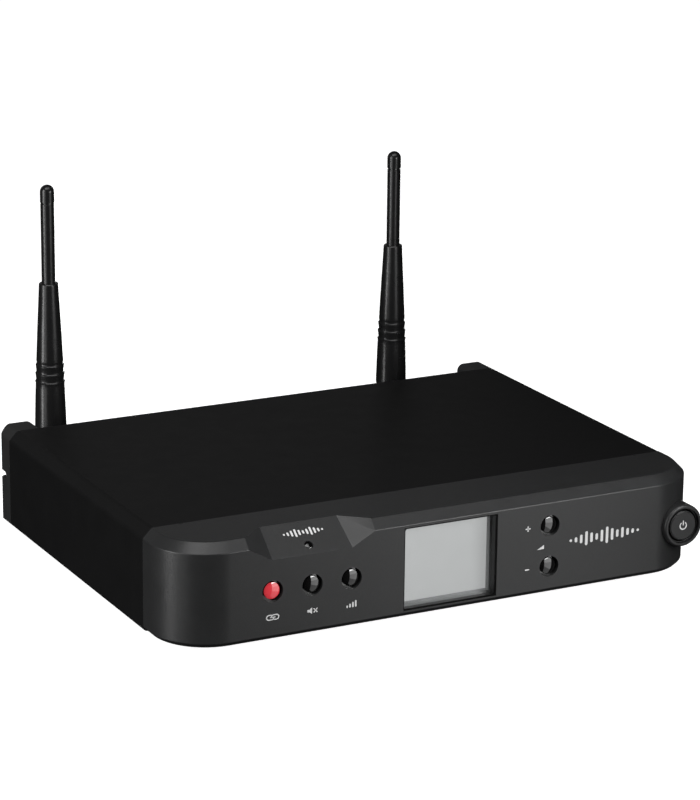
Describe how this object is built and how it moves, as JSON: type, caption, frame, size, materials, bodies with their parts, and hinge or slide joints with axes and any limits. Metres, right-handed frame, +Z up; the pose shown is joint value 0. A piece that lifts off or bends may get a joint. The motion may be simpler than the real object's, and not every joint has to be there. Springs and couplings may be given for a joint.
{
  "type": "wireless audio receiver",
  "caption": "Half-rack wireless audio receiver with a black metal sleeve, moulded front bezel with keys, display and power button, and swivelling, folding rear antennas.",
  "frame": {"origin": "on the surface the feet stand on, below the middle of the whole unit with its antennas upright", "axes": "+X to the right seen from the front, +Y to the rear, +Z up; the front face looks along -Y"},
  "size_m": [0.21, 0.193, 0.1232],
  "materials": {
    "black_anodised": "fine satin black anodising",
    "bezel_plastic": "fine-grained charcoal moulding",
    "frame_plastic": "fine-grained dark grey moulding",
    "black_plastic": "plain black moulding",
    "black_zinc": "black powder coat or black zinc",
    "zinc_steel": "bright zinc",
    "nickel_brass": "nickel plated",
    "gold_brass": "gold plated",
    "gloss_black": "polished black",
    "gloss_red": "polished translucent red",
    "display_glass": "clear window",
    "display_grey": "light grey panel behind the glass",
    "gasket_grey": "mid-grey foam",
    "smoked_plastic": "dark smoked lens",
    "led_white": "small moulded lamps",
    "print_white": "white screen print",
    "circuit_board": "green solder mask",
    "chip_black": "epoxy packages",
    "capacitor_sleeve": "shrunk sleeves",
    "ferrite": "ferrite with windings",
    "ribbon": "flat flexible cable",
    "cable_black": "black cable jacket",
    "foot_rubber": "matt rubber",
    "antenna_black": "satin black moulding"
  },
  "bodies": {
    "chassis": {"enclosure_sleeve": "black_anodised", "rubber_feet": "foot_rubber", "front_bezel": "bezel_plastic", "front_subpanel": "zinc_steel", "front_screws": "zinc_steel", "bezel_screws": "zinc_steel", "display_window": "display_glass", "display_gasket": "gasket_grey", "display_panel": "display_grey", "status_lens": "smoked_plastic", "front_board": "circuit_board", "front_board_screws": "zinc_steel", "key_switches": "black_plastic", "key_leds": "led_white", "power_switch": "black_plastic", "power_guide": "black_plastic", "ribbon_cable": "ribbon", "main_board": "circuit_board", "board_chips": "chip_black", "board_capacitors": "capacitor_sleeve", "board_coils": "ferrite", "radio_board": "circuit_board", "radio_shield": "zinc_steel", "antenna_leads": "cable_black", "rear_panel": "black_zinc", "rear_frame": "frame_plastic", "rear_screws": "black_zinc", "panel_washers": "zinc_steel", "xlr_body": "black_zinc", "xlr_insert": "black_plastic", "xlr_pins": "nickel_brass", "xlr_screws": "black_zinc", "jack_body": "black_plastic", "jack_nut": "nickel_brass", "dc_inlet": "black_plastic", "dc_pin": "nickel_brass", "usb_socket": "zinc_steel", "antenna_sockets": "gold_brass", "socket_nuts": "gold_brass", "left_coupling": "antenna_black", "right_coupling": "antenna_black"},
    "link_key": {"link_button": "gloss_red"},
    "mute_key": {"mute_button": "gloss_black"},
    "channel_key": {"channel_button": "gloss_black"},
    "level_up_key": {"level_up_button": "gloss_black"},
    "level_down_key": {"level_down_button": "gloss_black"},
    "power_key": {"power_button": "bezel_plastic"},
    "left_swivel_arm": {"left_swivel": "antenna_black", "left_hinge_pin": "zinc_steel"},
    "left_antenna": {"left_sleeve": "antenna_black", "left_whip": "antenna_black", "left_tip": "antenna_black"},
    "right_swivel_arm": {"right_swivel": "antenna_black", "right_hinge_pin": "zinc_steel"},
    "right_antenna": {"right_sleeve": "antenna_black", "right_whip": "antenna_black", "right_tip": "antenna_black"}
  },
  "joints": [
    {"name": "link_press", "type": "slide", "parent": "chassis", "child": "link_key", "axis": [0, 1, 0], "range_m": [0, 0.0005], "stiffness_N_per_m": 400, "springref_m": -0.0005},
    {"name": "mute_press", "type": "slide", "parent": "chassis", "child": "mute_key", "axis": [0, 1, 0], "range_m": [0, 0.0005], "stiffness_N_per_m": 400, "springref_m": -0.0005},
    {"name": "channel_press", "type": "slide", "parent": "chassis", "child": "channel_key", "axis": [0, 1, 0], "range_m": [0, 0.0005], "stiffness_N_per_m": 400, "springref_m": -0.0005},
    {"name": "level_up_press", "type": "slide", "parent": "chassis", "child": "level_up_key", "axis": [0, 1, 0], "range_m": [0, 0.0005], "stiffness_N_per_m": 400, "springref_m": -0.0005},
    {"name": "level_down_press", "type": "slide", "parent": "chassis", "child": "level_down_key", "axis": [0, 1, 0], "range_m": [0, 0.0005], "stiffness_N_per_m": 400, "springref_m": -0.0005},
    {"name": "power_press", "type": "slide", "parent": "chassis", "child": "power_key", "axis": [0, 1, 0], "range_m": [0, 0.0012], "stiffness_N_per_m": 400, "springref_m": -0.0005},
    {"name": "left_antenna_swivel", "type": "hinge", "parent": "chassis", "child": "left_swivel_arm", "pos_m": [-0.0744, 0.0718, 0.0205], "axis": [0, 1, 0], "range_deg": [-90, 90]},
    {"name": "left_antenna_fold", "type": "hinge", "parent": "left_swivel_arm", "child": "left_antenna", "pos_m": [-0.0744, 0.0903, 0.0205], "axis": [-1, 0, 0], "range_deg": [0, 90]},
    {"name": "right_antenna_swivel", "type": "hinge", "parent": "chassis", "child": "right_swivel_arm", "pos_m": [0.0744, 0.0718, 0.0205], "axis": [0, 1, 0], "range_deg": [-90, 90]},
    {"name": "right_antenna_fold", "type": "hinge", "parent": "right_swivel_arm", "child": "right_antenna", "pos_m": [0.0744, 0.0903, 0.0205], "axis": [-1, 0, 0], "range_deg": [0, 90]}
  ]
}
